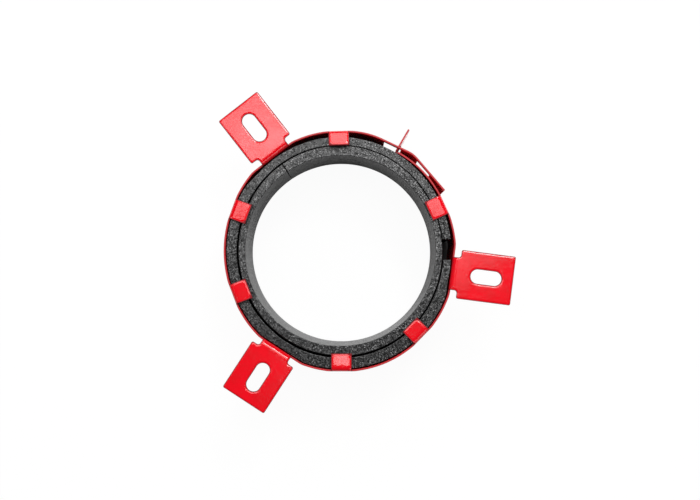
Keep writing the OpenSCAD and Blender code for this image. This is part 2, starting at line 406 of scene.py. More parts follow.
@dataclass(frozen=True)
class CollarSizes:
    """Sizes of the collar in millimetres and degrees, as the part's solids have them."""

    bore_d: float = 112.0
    strip_t: float = 5.0
    strip_gap: float = 0.15
    strip_shift: float = 0.5
    strip_shift_angle: float = 240.0
    strip_oval: float = 0.95
    outer_butt_w: float = 12.0
    outer_butt_angle: float = 0.5
    inner_butt_w: float = 0.4
    inner_butt_angle: float = 124.0
    strip_drop: float = 0.5
    sheet_t: float = 1.0
    collar_h: float = 50.0
    fold_r: float = 2.0
    band_gap: float = 0.1
    band_spread: float = 3.6
    band_shift: float = 1.3
    band_shift_angle: float = 303.0
    band_oval: float = 0.95
    oval_angle: float = 98.0
    ease_r: float = 10.0
    flat_land: float = 1.0
    lug_headings: tuple[float, ...] = (-7.4, -123.0, -232.0)
    lug_slide: float = 2.4
    lug_w: float = 28.7
    lug_l: float = 31.8
    lug_neck_w: float = 19.4
    notch_r: float = 1.6
    lug_corner_r: float = 1.0
    slot_w: float = 8.4
    slot_l: float = 18.2
    tab_before: tuple[float, ...] = (32.0, 33.0, 32.0)
    tab_after: tuple[float, ...] = (37.0, 36.0, 36.5)
    tab_w: float = 12.0
    tab_reach: float = 10.6
    full_fold: float = 90.0
    open_fold: float = 68.0
    end_heading: float = 59.5
    tongue_w: float = 31.0
    tongue_reach: float = 15.5
    tongue_fold_r: float = 1.0
    window_gap: float = 1.5
    window_l: float = 11.0
    window_heading: float = -295.5
    tail_heading: float = -319.5
    window_tuck: float = 0.8
    tail_tuck: float = 1.0
    tail_end_l: float = 13.0
    form_step: float = 2.0

    @property
    def half_h(self) -> float:
        """Half the height of the collar."""
        return self.collar_h / 2

    @property
    def edge_z(self) -> float:
        """Height at which the folds begin."""
        return self.half_h - self.fold_r - self.sheet_t

    @property
    def strip_bottom(self) -> float:
        """Height of the underside of the strips."""
        return self.sheet_t - self.half_h

    @property
    def strip_top(self) -> float:
        """Height of the upper face of the strips."""
        return self.edge_z - self.strip_drop

    @property
    def outer_r0(self) -> float:
        """Inside radius of the outer strip."""
        return self.bore_d / 2 + self.strip_t + self.strip_gap + self.strip_shift

    @property
    def outer_r1(self) -> float:
        """Outside radius of the outer strip."""
        return self.outer_r0 + self.strip_t

    @property
    def window_half(self) -> float:
        """Half the height of a window."""
        return self.tongue_w / 2 + self.window_gap

    def features(self) -> list[Feature]:
        """Lists the tabs and lugs.

        Returns:
            Each lug between its two pairs of tabs, in order from the inner end.
        """
        return [
            feature
            for heading, before, after in zip(self.lug_headings, self.tab_before, self.tab_after)
            for feature in (
                Feature(Kind.TABS, heading + before, self.tab_w, 0.0, self.flat_land),
                Feature(Kind.LUG, heading, self.lug_neck_w, self.lug_slide, self.flat_land),
                Feature(Kind.TABS, heading - after, self.tab_w, 0.0, self.flat_land),
            )
        ]

    def ease_turn(self, half: float) -> float:
        """Turn, in degrees, that eases a flat of a half length into the curve."""
        return math.degrees(math.asin(half / (self.outer_r1 - self.ease_r)))

    def flat_dip(self, half: float) -> float:
        """How far a flat of a half length lies inside the curve."""
        return half * math.tan(math.radians(self.ease_turn(half)) / 2)

    def oval_offset(self, angle: np.ndarray) -> np.ndarray:
        """Offset that squeezes a ring to an oval of four arcs, which touch halfway between its axes.

        Round the ends a point moves along the long axis and in along its own heading. Along the sides it
        moves back over the short axis and out along its own heading. The change of radius is the oval's.

        Args:
            angle: headings, in radians.

        Returns:
            The offsets, with X and Y last.
        """
        outward = unit(angle)[0]
        axes = np.array(unit(math.radians(self.oval_angle)))
        along, across = np.moveaxis(outward @ axes.T, -1, 0)[..., None]
        shift = self.strip_oval / (1 - math.cos(math.pi / 4))
        ends = np.sign(along) * shift * axes[0] - (shift - self.strip_oval) * outward
        sides = (shift - self.strip_oval) * outward - np.sign(across) * shift * axes[1]
        return np.where(np.abs(along) > np.abs(across), ends, sides)

    def strip_form(self, heading: np.ndarray) -> np.ndarray:
        """Change of radius of the outer strip: the oval's, and a cosine of the shift.

        Args:
            heading: headings, in degrees.

        Returns:
            The change of radius, in millimetres.
        """
        angle = np.radians(heading)
        oval = np.sum(self.oval_offset(angle) * unit(angle)[0], axis=-1)
        return oval + self.strip_shift * np.cos(angle - math.radians(self.strip_shift_angle))

    def band_form(self, heading: np.ndarray) -> np.ndarray:
        """Change of radius of the band: a steady spread, a cosine of the shift and one of twice the heading.

        Args:
            heading: headings, in degrees, which fall as the band is followed round.

        Returns:
            The change of radius, in millimetres.
        """
        spread = self.band_spread * (self.end_heading - heading) / 360
        shift = self.band_shift * np.cos(np.radians(heading - self.band_shift_angle))
        return spread + shift + self.band_oval * np.cos(2 * np.radians(heading - self.oval_angle))

    def band_r(self) -> float:
        """Works out the radius that the band's form is added to.

        It is the least one with which the curve and the flats clear the outer strip.

        Returns:
            The radius of the outer face, in millimetres.
        """
        last = self.lug_headings[-1] - self.tab_after[-1]
        headings = np.arange(last, self.end_heading + TINY, self.form_step)
        flats = np.array([feature.heading for feature in self.features()])
        dips = np.array([self.flat_dip(feature.half) for feature in self.features()])
        most = max(
            np.max(self.strip_form(headings) - self.band_form(headings)),
            np.max(self.strip_form(flats) - self.band_form(flats) + dips),
        )
        return float(self.outer_r1 + self.band_gap + self.sheet_t + most)

    def curve_r(self, heading: float) -> float:
        """Distance from the axis to the line that touches the outside of the curve at a heading."""
        return float(self.band_r() + self.band_form(np.array(heading)))

    def curve_mid(self, heading: float) -> float:
        """Where that line touches, clockwise from the foot of its normal: minus the slope of its distance."""
        return math.degrees(self.curve_r(heading - 0.5) - self.curve_r(heading + 0.5))


@dataclass(frozen=True)
class Flat:
    """A flat of the band: heading in degrees, distance, middle, half its least length and the span in use."""

    heading: float
    distance: float
    middle: float
    half: float
    low: float
    high: float


@dataclass
class BandPlan:
    """Plan of the band: flats that face set headings, joined by bends that touch both.

    A flat that carries a lug or tabs lies a little inside the curve of the band. On each side of it the curve
    is touched once more, so that a tight bend eases the flat into the round.

    The middle of the sheet is followed clockwise from the inner end. On a flat it is a straight line. On a
    bend it is a circle: the centre plus the radius times the outward vector at a heading that falls evenly.
    """

    sizes: CollarSizes
    wall_samples: int = 1500
    least_column: float = 1e-4
    flats: list[Flat] = field(init=False)
    flat_starts: list[Pair] = field(init=False, default_factory=list)
    starts: np.ndarray = field(init=False)
    headings: np.ndarray = field(init=False)
    rates: np.ndarray = field(init=False)
    points: np.ndarray = field(init=False)
    length: float = field(init=False)

    def __post_init__(self) -> None:
        """Works out the flats, and then the stretches that the sheet is followed by."""
        self.flats = self._all_flats()
        self._follow()

    def _touching(self, heading: float) -> Flat:
        """Makes the short flat that touches the curve at a heading.

        Args:
            heading: the heading, in degrees.

        Returns:
            The flat, with no span in use.
        """
        s = self.sizes
        mid = s.curve_mid(heading)
        return Flat(heading, s.curve_r(heading), mid, s.flat_land, mid, mid)

    def _all_flats(self) -> list[Flat]:
        """Lists the flats: the inner end's, three for each feature and the two of the lapped end.

        Returns:
            The flats from the inner end to the tail.
        """
        s = self.sizes
        end = s.curve_mid(s.end_heading)
        flats = [Flat(s.end_heading, s.curve_r(s.end_heading), end, 2 * s.flat_land, end, end)]
        land_turn = math.degrees(2 * s.flat_land / s.outer_r1)
        for feature in s.features():
            turn = s.ease_turn(feature.half) + land_turn
            mid = s.curve_mid(feature.heading)
            place = mid + feature.slide
            distance = s.curve_r(feature.heading) - s.flat_dip(feature.half)
            flats += [
                self._touching(feature.heading + turn),
                Flat(feature.heading, distance, mid, feature.half,
                     place - feature.width / 2, place + feature.width / 2),
                self._touching(feature.heading - turn),
            ]
        return flats + self._lap_flats(end)

    def _lap_flats(self, end: float) -> list[Flat]:
        """Lists the flats of the lapped end, the window's and the tail's.

        The window stops a gap past the place where the line of the tongue's side crosses its flat.

        Args:
            end: where the inner end's flat touches the curve.

        Returns:
            The two flats.
        """
        s = self.sizes
        distance = s.curve_r(s.window_heading) - s.window_tuck
        turn = math.radians(s.window_heading + 360 - s.end_heading)
        side = s.tongue_fold_r - end
        stop = (distance * math.sin(turn) - side) / math.cos(turn) + s.window_gap
        half = s.window_l / 2
        tail_r = s.curve_r(s.tail_heading) - s.tail_tuck
        return [
            Flat(s.window_heading, distance, stop - half, half + s.flat_land, stop - s.window_l, stop),
            Flat(s.tail_heading, tail_r, 0.0, s.window_l + s.flat_land, -s.window_l, 0.0),
        ]

    def _follow(self) -> None:
        """Sets the start, heading, turning rate and first point of each flat and bend.

        They lie on the middle of the sheet. A bend touches its two flats at the same distance from the corner
        where their lines cross, the longest distance that leaves both their least lengths.
        """
        half_t = self.sizes.sheet_t / 2
        stretches = []
        along, begin = 0.0, self.flats[0].middle
        for flat, after in zip(self.flats, self.flats[1:] + [None]):
            heading = math.radians(flat.heading)
            outward, onward = unit(heading)
            foot = (flat.distance - half_t) * outward
            stretches.append((along, heading, 0.0, foot - begin * onward))
            self.flat_starts.append((along, begin))
            if after is None:
                along += flat.middle + self.sizes.tail_end_l - begin
                continue
            turn = math.radians(flat.heading - after.heading)
            corner = (after.distance - flat.distance * math.cos(turn)) / math.sin(turn)
            corner_next = (after.distance * math.cos(turn) - flat.distance) / math.sin(turn)
            tangent = min(corner - flat.middle - flat.half, after.middle - after.half - corner_next)
            radius = tangent / math.tan(turn / 2) - half_t
            stop = corner - tangent
            along += stop - begin
            stretches.append((along, heading, 1 / radius, foot - stop * onward))
            along += radius * turn
            begin = corner_next + tangent
        self.starts, self.headings, self.rates, self.points = map(np.array, zip(*stretches))
        self.length = along

    def along(self, index: int, place: float) -> float:
        """Distance along the sheet of a place on a flat, measured clockwise on it."""
        start, begin = self.flat_starts[index]
        return start + place - begin

    def at(self, along: np.ndarray) -> tuple[np.ndarray, np.ndarray]:
        """Follows the middle of the sheet.

        Args:
            along: distances from the inner end, in millimetres.

        Returns:
            The points, and the headings in radians that the sheet faces there.
        """
        k = np.clip(np.searchsorted(self.starts, along + TINY, side="right") - 1, 0, len(self.starts) - 1)
        run, rate = along - self.starts[k], self.rates[k]
        heading = self.headings[k] - run * rate
        first_out, first_on = unit(self.headings[k])
        straight = self.points[k] - run[:, None] * first_on
        radius = np.where(rate > 0, 1 / np.where(rate > 0, rate, 1), 0)[:, None]
        bent = self.points[k] + radius * (unit(heading)[0] - first_out)
        return np.where(rate[:, None] > 0, bent, straight), heading

    def inner_r(self, angle: np.ndarray) -> np.ndarray:
        """Distance of the wall's inner face from the axis, on the first turn of the sheet.

        Args:
            angle: polar angles, in radians.

        Returns:
            The radii, in millimetres.
        """
        middle, heading = self.at(np.linspace(0, self.length, self.wall_samples))
        inside = middle - self.sizes.sheet_t / 2 * unit(heading)[0]
        turn = np.unwrap(np.arctan2(inside[:, 1], inside[:, 0]))
        first = turn > turn[0] - 2 * math.pi
        return np.interp(angle, turn[first], np.hypot(*inside[first].T), period=2 * math.pi)

    def columns(self, step: float) -> np.ndarray:
        """Divides the sheet into columns, with one at every change of form.

        Args:
            step: longest step between columns, in millimetres.

        Returns:
            Distances along the sheet, in millimetres.
        """
        spans = [[self.along(i, flat.low), self.along(i, flat.high)] for i, flat in enumerate(self.flats)]
        marks = np.unique(np.round(np.concatenate([self.starts, [self.length], *spans]), 6))
        marks = marks[np.concatenate([[True], np.diff(marks) > self.least_column])]
        return np.unique(np.concatenate([between(a, b, step) for a, b in zip(marks[:-1], marks[1:])]))


def grid_quads(rows: int, cols: int, closed: bool) -> np.ndarray:
    """Numbers the points of each cell of a grid that is stored row by row.

    Args:
        rows: rows of points.
        cols: columns of points.
        closed: whether the last column joins the first.

    Returns:
        Four point numbers for each cell, with the cells in rows and columns.
    """
    index = np.arange(rows * cols).reshape(rows, cols)
    if closed:
        index = np.concatenate([index, index[:, :1]], axis=1)
    return np.stack([index[:-1, :-1], index[1:, :-1], index[1:, 1:], index[:-1, 1:]], axis=-1)


@dataclass
class SheetMesh:
    """Middle surface of a folded sheet, gathered from grids of points that share their edges."""

    points: list[np.ndarray] = field(default_factory=list)
    quads: list[np.ndarray] = field(default_factory=list)
    count: int = 0

    def add(self, grid: np.ndarray, kept: np.ndarray | None = None, closed: bool = False) -> None:
        """Adds a grid whose rows go up the sheet and whose columns go clockwise round the band.

        Args:
            grid: rows by columns by three, in millimetres.
            kept: one flag for each cell, or none to keep all.
            closed: whether the last column joins the first.
        """
        rows, cols = grid.shape[:2]
        cells = grid_quads(rows, cols, closed) + self.count
        self.quads.append(cells.reshape(-1, 4) if kept is None else cells[kept])
        self.points.append(grid.reshape(-1, 3))
        self.count += rows * cols

    def welded(self) -> tuple[np.ndarray, np.ndarray]:
        """Joins points that share a place to a ten-thousandth of a millimetre.

        Returns:
            The points in millimetres and the quads.
        """
        points, quads = np.concatenate(self.points), np.concatenate(self.quads)
        _, first, same = np.unique(np.round(points, 4), axis=0, return_index=True, return_inverse=True)
        quads = same.reshape(-1)[quads]
        used, again = np.unique(quads, return_inverse=True)
        return points[first][used], again.reshape(-1, 4)


def edge_distance(points: np.ndarray, quads: np.ndarray, shares: int = 24) -> np.ndarray:
    """Distance of each point of a sheet from the nearest point of its cut edge.

    The cut edge has the sides that only one cell uses.

    Args:
        points: points, in millimetres.
        quads: cells of four points.
        shares: how many shares the points are taken in, to spare memory.

    Returns:
        One distance for each point, in millimetres.
    """
    pairs = np.sort(np.stack([quads, np.roll(quads, -1, axis=1)], axis=-1).reshape(-1, 2), axis=1)
    sides, uses = np.unique(pairs, axis=0, return_counts=True)
    rim = points[np.unique(sides[uses == 1])]
    return np.concatenate([
        np.sqrt(((part[:, None] - rim[None]) ** 2).sum(-1).min(1)) for part in np.array_split(points, shares)
    ])


def new_piece(name: str, points: np.ndarray, faces: list[list[int]]) -> bpy.types.Object:
    """Makes a smooth-shaded object at the origin from points in millimetres.

    Args:
        name: name of the object and its mesh.
        points: points, in millimetres.
        faces: lists of point numbers.

    Returns:
        The object, linked to the scene.
    """
    mesh = bpy.data.meshes.new(name)
    mesh.from_pydata((points * MM).tolist(), [], faces)
    mesh.update()
    mesh.polygons.foreach_set("use_smooth", np.ones(len(mesh.polygons), bool))
    piece = bpy.data.objects.new(name, mesh)
    bpy.context.scene.collection.objects.link(piece)
    return piece


def round_edges(piece: bpy.types.Object, width: float, least_angle: float, segments: int = 3) -> None:
    """Rounds the sharp edges of a piece with a live bevel.

    Args:
        piece: the piece.
        width: width of the bevel, in millimetres.
        least_angle: smallest angle, in degrees, that counts as sharp.
        segments: steps round an edge.
    """
    bevel = piece.modifiers.new("rounded_edges", "BEVEL")
    bevel.width = width * MM
    bevel.segments = segments
    bevel.limit_method = "ANGLE"
    bevel.angle_limit = math.radians(least_angle)
    bevel.use_clamp_overlap = False
    bevel.harden_normals = True


@dataclass
class Piece:
    """A piece of the collar: its sizes, finish, name, the node that it stands for and its material slot,
    which is not used.
    """

    sizes: CollarSizes
    finish: PowderCoat | Graphite
    name: str
    node: str
    slot: str

    def build(self) -> bpy.types.Object:
        """Builds the piece's mesh, each kind of piece in its own way."""
        raise NotImplementedError

    def dress(self) -> bpy.types.Object:
        """Builds the piece, gives it its finish and puts it in place of its node of the solids.

        Returns:
            The piece's object.
        """
        piece = self.build()
        piece.data.materials.append(self.finish.build())
        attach(piece, BODY)
        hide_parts(self.node)
        return piece


@dataclass
class FoldedBand(Piece):
    """The red band: one blank of sheet steel, rolled and folded.

    Lugs and tabs are folded from its edges, and a tongue from its inner end.
    """

    step: float = 2.4
    wall_step: float = 6.0
    wall_ease: float = 0.6
    tab_step: float = 1.7
    fold_steps: int = 10
    corner_steps: int = 8
    plate_shares: tuple[float, ...] = (0.0, 0.06, 0.2, 0.4, 0.6, 0.8, 0.94, 1.0)
    edge_r: float = 0.22
    sharp_angle: float = 50.0
    slack: float = 1e-3
    plan: BandPlan = field(init=False)
    along: np.ndarray = field(init=False)
    middle: np.ndarray = field(init=False)
    heading: np.ndarray = field(init=False)
    rows: np.ndarray = field(init=False)

    def __post_init__(self) -> None:
        """Works out the plan, and the wall's columns and rows, which lie close by its edges and windows."""
        s, ease = self.sizes, self.wall_ease
        self.plan = BandPlan(s)
        self.along = self.plan.columns(self.step)
        self.middle, self.heading = self.plan.at(self.along)
        window = s.window_half
        upper = np.concatenate([
            between(0, s.tongue_w / 2, self.wall_step), [window, window + ease, s.edge_z - ease, s.edge_z],
        ])
        self.rows = np.concatenate([-upper[::-1], upper[1:]])

    def _span(self, index: int) -> np.ndarray:
        """Finds the columns of the wall across the feature of a flat.

        Args:
            index: number of the flat.

        Returns:
            Numbers of the columns.
        """
        flat = self.plan.flats[index]
        low, high = self.plan.along(index, flat.low), self.plan.along(index, flat.high)
        return np.flatnonzero((self.along > low - self.slack) & (self.along < high + self.slack))

    def _lifted(self, columns: np.ndarray, out: np.ndarray, up: np.ndarray) -> np.ndarray:
        """Carries a profile along columns of the wall.

        A point is the middle of the sheet plus the outward vector times out, at the height up.

        Args:
            columns: columns of the wall.
            out: distances outward from the middle of the sheet, one for each row.
            up: heights, one for each row.

        Returns:
            Rows by columns by three.
        """
        outward = unit(self.heading[columns])[0]
        plan = self.middle[columns][None] + out[:, None, None] * outward[None]
        return np.concatenate([plan, np.broadcast_to(up[:, None, None], plan.shape[:2] + (1,))], axis=-1)

    def _fold(self, angle: float) -> tuple[np.ndarray, np.ndarray]:
        """Profile of a fold: a circle of the middle of the sheet, turned through an angle.

        Args:
            angle: angle of the fold, in degrees.

        Returns:
            How far in or out the sheet has come and how far it has risen, from the wall to the fold's end.
        """
        turn = np.radians(np.linspace(0, angle, self.fold_steps + 1))
        radius = self.sizes.fold_r + self.sizes.sheet_t / 2
        return radius * (1 - np.cos(turn)), radius * np.sin(turn)

    def _wall(self, sheet: SheetMesh) -> None:
        """Adds the wall: the plan carried straight up, with the cells of the two windows left out.

        Args:
            sheet: the sheet.
        """
        columns = np.arange(len(self.along))
        kept = np.ones((len(self.rows) - 1, len(columns) - 1), bool)
        mid_z = (self.rows[1:] + self.rows[:-1]) / 2
        mid_along = (self.along[1:] + self.along[:-1]) / 2
        for index in range(len(self.plan.flats))[-2:]:
            span = self.along[self._span(index)]
            inside = (mid_along > span[0]) & (mid_along < span[-1])
            kept[np.ix_(np.abs(mid_z) < self.sizes.window_half, inside)] = False
        sheet.add(self._lifted(columns, np.zeros(len(self.rows)), self.rows), kept)

    def _tab(self, sheet: SheetMesh, index: int, edge: Edge, angle: float) -> None:
        """Adds a retaining tab: a fold inward and a plate along the fold's last direction.

        Args:
            sheet: the sheet.
            index: flat that the tab is on.
            edge: edge that it is folded from.
            angle: angle of its fold, in degrees.
        """
        s = self.sizes
        inward, up = self._fold(angle)
        plate = between(0, s.tab_reach - s.sheet_t - s.fold_r, self.tab_step)[1:]
        turn = math.radians(angle)
        inward = np.concatenate([inward, inward[-1] + plate * math.sin(turn)])
        up = np.concatenate([up, up[-1] + plate * math.cos(turn)])
        grid = self._lifted(self._span(index), -inward, edge.value * (s.edge_z + up))
        sheet.add(grid if edge is Edge.UPPER else grid[::-1])

    def _lug_outline(self, across: np.ndarray) -> np.ndarray:
        """Outline of a lug's plate from one end of its neck round to the other.

        It is a chain of straight lines and quarter circles: the side of the neck, the round notch, the edge
        of the plate, its rounded corners, and the same mirrored.

        Args:
            across: places across the neck, from the positive side to the negative one.

        Returns:
            Points as distance out from the band's outer face and place across the lug, anticlockwise.
        """
        s = self.sizes
        neck, half, corner, notch = s.lug_neck_w / 2, s.lug_w / 2, s.lug_corner_r, s.notch_r
        begin = s.fold_r + notch
        end = begin + s.lug_l

        def arc(x: float, y: float, r: float, a: float, b: float) -> np.ndarray:
            """Points of an arc about a centre, between two angles in degrees."""
            turn = np.radians(np.linspace(a, b, self.corner_steps + 1))
            return np.stack([x + r * np.cos(turn), y + r * np.sin(turn)], axis=-1)

        straight = between(begin + corner, end - corner, self.step)[1:-1]
        side = np.concatenate([
            arc(s.fold_r, neck + notch, notch, -90, 0)[1:],
            arc(begin + corner, half - corner, corner, 180, 90),
            np.stack([straight, np.full(len(straight), half)], axis=-1),
            arc(end - corner, half - corner, corner, 90, 0),
        ])
        tip = between(corner - half, half - corner, self.step)[1:-1]
        return np.concatenate([
            np.stack([np.full(len(across), s.fold_r), across], axis=-1),
            side * [1, -1],
            np.stack([np.full(len(tip), end), tip], axis=-1),
            side[::-1],
        ])

    def _lug(self, sheet: SheetMesh, index: int) -> None:
        """Adds a fixing lug: a fold outward and a plate that is ruled between its outline and its slot.

        A point of the plate is the nearest point of the slot's rim plus a share of the way to the outline.

        Args:
            sheet: the sheet.
            index: flat that the lug is on.
        """
        s, span = self.sizes, self._span(index)
        outward_by, up = self._fold(s.full_fold)
        sheet.add(self._lifted(span, outward_by, s.edge_z + up))
        flat = self.plan.flats[index]
        centre = (flat.low + flat.high) / 2
        across = centre - (self.along[span] - self.plan.along(index, 0.0))
        outline = self._lug_outline(across)
        slot_mid = s.fold_r + s.notch_r + s.lug_l / 2
        slot_half = (s.slot_l - s.slot_w) / 2
        core_out = np.clip(outline[:, 0], slot_mid - slot_half, slot_mid + slot_half)
        core = np.stack([core_out, np.zeros(len(outline))], axis=-1)
        away = outline - core
        rim = core + s.slot_w / 2 * away / np.linalg.norm(away, axis=1, keepdims=True)
        share = np.array(self.plate_shares)[:, None, None]
        ruled = rim[None] + share * (outline - rim)[None]
        outward, onward = unit(math.radians(flat.heading))
        plan = (flat.distance + ruled[..., :1]) * outward + (ruled[..., 1:] - centre) * onward
        height = np.full(plan.shape[:2] + (1,), s.half_h - s.sheet_t / 2)
        sheet.add(np.concatenate([plan, height], axis=-1)[:, ::-1], closed=True)

    def _tongue(self, sheet: SheetMesh) -> None:
        """Adds the tongue: a quarter circle out of the inner end and a plate straight outward.

        Args:
            sheet: the sheet.
        """
        s = self.sizes
        flat = self.plan.flats[0]
        radius = s.tongue_fold_r + s.sheet_t / 2
        turn = np.radians(np.linspace(180, 90, self.fold_steps + 1))
        plate = between(s.tongue_fold_r, s.tongue_reach, self.step)[1:]
        out = np.concatenate([s.tongue_fold_r + radius * np.cos(turn), plate])[::-1]
        on = np.concatenate([radius * np.sin(turn), np.full(len(plate), radius)])[::-1]
        outward, onward = unit(math.radians(flat.heading))
        plan = (flat.distance + out)[:, None] * outward + (on - flat.middle)[:, None] * onward
        rows = self.rows[np.abs(self.rows) < s.tongue_w / 2 + self.slack]
        sheet.add(np.concatenate([
            np.broadcast_to(plan[None], (len(rows),) + plan.shape),
            np.broadcast_to(rows[:, None, None], (len(rows), len(plan), 1)),
        ], axis=-1))

    def build(self) -> bpy.types.Object:
        """Builds the band as a middle surface, thickened to the sheet and rounded at its cut edges.

        Returns:
            The band's object.
        """
        s, sheet = self.sizes, SheetMesh()
        self._wall(sheet)
        self._tongue(sheet)
        features = s.features()
        for k, feature in enumerate(features):
            # A feature's flat lies between two short ones, and the inner end's flat comes before them all.
            carrier = 3 * k + 2
            if feature.kind is Kind.LUG:
                self._lug(sheet, carrier)
            else:
                final = k == len(features) - 1
                self._tab(sheet, carrier, Edge.UPPER, s.open_fold if final else s.full_fold)
                self._tab(sheet, carrier, Edge.LOWER, s.full_fold)
        points, quads = sheet.welded()
        piece = new_piece(self.name, points, quads.tolist())
        mark = piece.data.attributes.new(CUT_EDGE, "FLOAT", "POINT")
        mark.data.foreach_set("value", edge_distance(points, quads).astype(np.float32))
        thick = piece.modifiers.new("sheet", "SOLIDIFY")
        thick.thickness = s.sheet_t * MM
        thick.offset = 0
        thick.use_even_offset = True
        thick.use_quality_normals = True
        round_edges(piece, self.edge_r, self.sharp_angle)
        return piece


@dataclass
class GraphiteStrip(Piece):
    """A strip of intumescent bent to an oval ring, with a butt where its ends face each other.

    A point is the ring's centre plus a radius times the outward vector, plus the oval's offset there. The
    radius and height come from the strip's section, and the angle runs evenly from one face of the butt to
    the other. A strip with no wall round it has a round bore: there it has none of the offset, which grows
    evenly to the outer face. A strip with a wall round it swells towards the wall where it is pressed to it.
    """

    inner_r: float
    centre: Pair
    butt_angle: float
    butt_w: float
    seed: int
    bevel: float = 0.0
    wall: BandPlan | None = None
    pressed: Pair = (136.0, 348.0)
    pressed_ease: float = 14.0
    pressed_gap: float = 0.5
    pressed_most: float = 1.8
    roughened: float = 0.12
    waves: tuple[int, ...] = (3, 5, 8, 13, 21, 34, 55)
    wave_slant: float = 0.12
    wave_peak: float = 3.2
    end_rounds: int = 12
    section_step: float = 3.0
    step: float = 0.9
    edge_r: float = 0.35
    sharp_angle: float = 40.0

    def _section(self) -> np.ndarray:
        """Works out the section of the strip, with points along its sides.

        Returns:
            Points as radius and height, anticlockwise.
        """
        r0, r1 = self.inner_r, self.inner_r + self.sizes.strip_t
        z0, z1 = self.sizes.strip_bottom, self.sizes.strip_top
        corners = [(r0, z0), (r1 - self.bevel, z0), (r1, z0 + self.bevel), (r1, z1), (r0, z1)]
        if self.bevel == 0:
            corners.pop(2)
        corners = np.array(corners + corners[:1])
        sides = []
        for a, b in zip(corners[:-1], corners[1:]):
            share = between(0, 1, self.section_step / max(np.linalg.norm(b - a), self.section_step))
            sides.append(a + share[:-1, None] * (b - a))
        return np.concatenate(sides)

    def _unevenness(self, angle: np.ndarray, height: np.ndarray) -> np.ndarray:
        """Slow unevenness from 0 to 1: a mean of sine waves round the ring, each with its own slant.

        Args:
            angle: angles round the ring, in radians.
            height: heights, in millimetres.

        Returns:
            The unevenness at each point.
        """
        rng = np.random.default_rng(self.seed)
        total = np.zeros_like(angle)
        for wave in self.waves:
            slant, phase = rng.uniform(-self.wave_slant, self.wave_slant), rng.uniform(0, 2 * math.pi)
            total += np.sin(wave * angle + slant * height + phase)
        return 0.5 + 0.5 * np.clip(total / self.wave_peak, -1, 1)

    def _plan(self, radius: np.ndarray, angle: np.ndarray) -> np.ndarray:
        """Place in the plan of points at mean radii and angles: centre, radius, oval's offset and swelling.

        Args:
            radius: mean radii, in millimetres.
            angle: headings, in radians.

        Returns:
            The places, with X and Y last.
        """
        thickness, centre = self.sizes.strip_t, np.array(self.centre)
        share = (radius - self.inner_r) / thickness
        outward = unit(angle)[0]
        offset = self.sizes.oval_offset(angle)
        if self.wall is None:
            return centre + radius[..., None] * outward + share[..., None] * offset
        swelling = share * self._swelling(centre + (self.inner_r + thickness) * outward + offset)
        return centre + (radius + swelling)[..., None] * outward + offset

    def _swelling(self, outer: np.ndarray) -> np.ndarray:
        """How far the soft outer face swells towards the wall where it is pressed to it.

        It is the free way to the wall less a small gap, eased in and out at the ends of the pressed stretch.

        Args:
            outer: places on the outer face before it swells.

        Returns:
            The swelling at each place, in millimetres.
        """
        angle = np.arctan2(outer[..., 1], outer[..., 0])
        turn = np.degrees(angle) % 360
        ease = np.clip(np.minimum(turn - self.pressed[0], self.pressed[1] - turn) / self.pressed_ease, 0, 1)
        free = self.wall.inner_r(angle) - np.linalg.norm(outer, axis=-1) - self.pressed_gap
        return ease * ease * (3 - 2 * ease) * np.clip(free, 0, self.pressed_most)

    def _end(self, radius: np.ndarray, side: float) -> np.ndarray:
        """Angles at which points at mean radii lie on one face of the butt.

        The angle starts at the middle of the butt, and is set right by its distance from the face, again and
        again.

        Args:
            radius: mean radii, in millimetres.
            side: 1 for the first face anticlockwise from the butt and -1 for the other.

        Returns:
            The angles, in radians, within half a turn of the butt.
        """
        turn = math.radians(self.butt_angle)
        across = unit(turn)[1]
        angle = np.full_like(radius, turn)
        for _ in range(self.end_rounds):
            angle = angle + (side * self.butt_w / 2 - self._plan(radius, angle) @ across) / radius
        return angle

    def build(self) -> bpy.types.Object:
        """Builds the strip as a closed shell, drawn in a little where its faces are uneven.

        Returns:
            The strip's object.
        """
        section = self._section()
        radius, height = section[:, 0][None], section[:, 1][None]
        first, final = self._end(radius, 1), self._end(radius, -1) + 2 * math.pi
        steps = math.ceil(2 * math.pi * self.inner_r / self.step)
        angle = first + np.linspace(0, 1, steps + 1)[:, None] * (final - first)
        drawn_in = self.roughened * self._unevenness(angle, height)
        middle_r = self.inner_r + self.sizes.strip_t / 2
        on_top, off_bottom = height == self.sizes.strip_top, height > self.sizes.strip_bottom
        radius = radius + np.where(off_bottom, np.sign(middle_r - radius) * drawn_in, 0)
        height = height - np.where(on_top, drawn_in, 0)
        grid = np.concatenate([self._plan(radius, angle), height[..., None]], axis=-1)
        rows, cols = grid.shape[:2]
        ring = np.arange(cols)
        faces = grid_quads(rows, cols, True).reshape(-1, 4).tolist()
        faces += [ring.tolist(), ((rows - 1) * cols + ring[::-1]).tolist()]
        piece = new_piece(self.name, grid.reshape(-1, 3), faces)
        round_edges(piece, self.edge_r, self.sharp_angle)
        return piece


@dataclass(frozen=True)
class Lamp:
    """A soft rectangular lamp that points at the collar."""

    name: str
    place: Triple
    aim: Triple
    size: Pair
    power: float

    def build(self) -> None:
        """Hangs the lamp."""
        data = bpy.data.lights.new(self.name, "AREA")
        data.shape = "RECTANGLE"
        data.size, data.size_y = self.size
        data.energy = self.power
        lamp = bpy.data.objects.new(self.name, data)
        lamp.location = self.place
        lamp.rotation_euler = (Vector(self.aim) - Vector(self.place)).to_track_quat("-Z", "Y").to_euler()
        bpy.context.scene.collection.objects.link(lamp)


